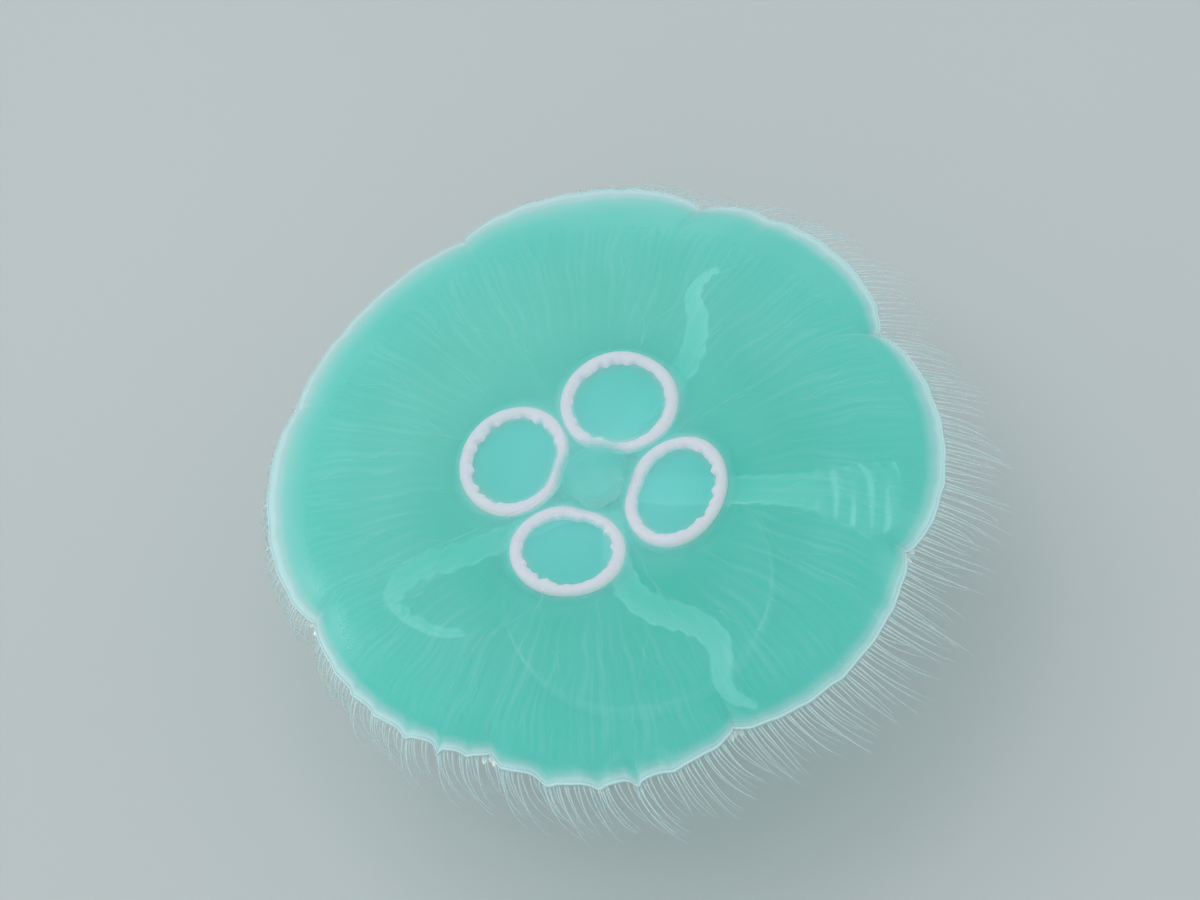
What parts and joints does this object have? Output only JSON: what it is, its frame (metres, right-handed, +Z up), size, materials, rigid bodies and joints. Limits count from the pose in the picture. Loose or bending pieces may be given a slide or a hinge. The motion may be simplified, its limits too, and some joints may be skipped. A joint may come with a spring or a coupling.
{
  "type": "moon jellyfish",
  "caption": "Still, life-size moon jellyfish: a shallow clear bell with ring-shaped gonads, frilled oral arms and a tentacle fringe, on a thin rod and a flat round base.",
  "frame": {"origin": "middle of the flat underside of the stand's base", "axes": "+Z up along the axis of the bell, +X towards the notch over the first oral arm, +Y towards the notch over the second oral arm"},
  "size_m": [0.2635, 0.2631, 0.122],
  "materials": {
    "jelly": "clear wet jelly with a faint sea-green tint, milkier towards the margin",
    "fringe": "whitish aqua, wet and slightly see-through",
    "gonad": "soft lavender-pink white tissue",
    "oral_arm": "milky aqua folded tissue",
    "sense_organ": "small tan bodies",
    "stand_base": "pale satin lacquer",
    "stand_rod": "fine brushed"
  },
  "bodies": {
    "root": {"bell_crown": "jelly", "bell_lobe_1": "jelly", "bell_lobe_2": "jelly", "bell_lobe_3": "jelly", "bell_lobe_4": "jelly", "bell_lobe_5": "jelly", "bell_lobe_6": "jelly", "bell_lobe_7": "jelly", "bell_lobe_8": "jelly", "margin_1": "fringe", "margin_2": "fringe", "margin_3": "fringe", "margin_4": "fringe", "margin_5": "fringe", "margin_6": "fringe", "margin_7": "fringe", "margin_8": "fringe", "rhopalium_1": "sense_organ", "rhopalium_2": "sense_organ", "rhopalium_3": "sense_organ", "rhopalium_4": "sense_organ", "rhopalium_5": "sense_organ", "rhopalium_6": "sense_organ", "rhopalium_7": "sense_organ", "rhopalium_8": "sense_organ", "gonad_1": "gonad", "gonad_2": "gonad", "gonad_3": "gonad", "gonad_4": "gonad", "manubrium": "oral_arm", "oral_arm_1_upper": "oral_arm", "oral_arm_1_lower": "oral_arm", "oral_arm_2_upper": "oral_arm", "oral_arm_2_lower": "oral_arm", "oral_arm_3_upper": "oral_arm", "oral_arm_3_lower": "oral_arm", "oral_arm_4_upper": "oral_arm", "oral_arm_4_lower": "oral_arm", "stand_base": "stand_base", "stand_rod": "stand_rod"}
  },
  "joints": []
}
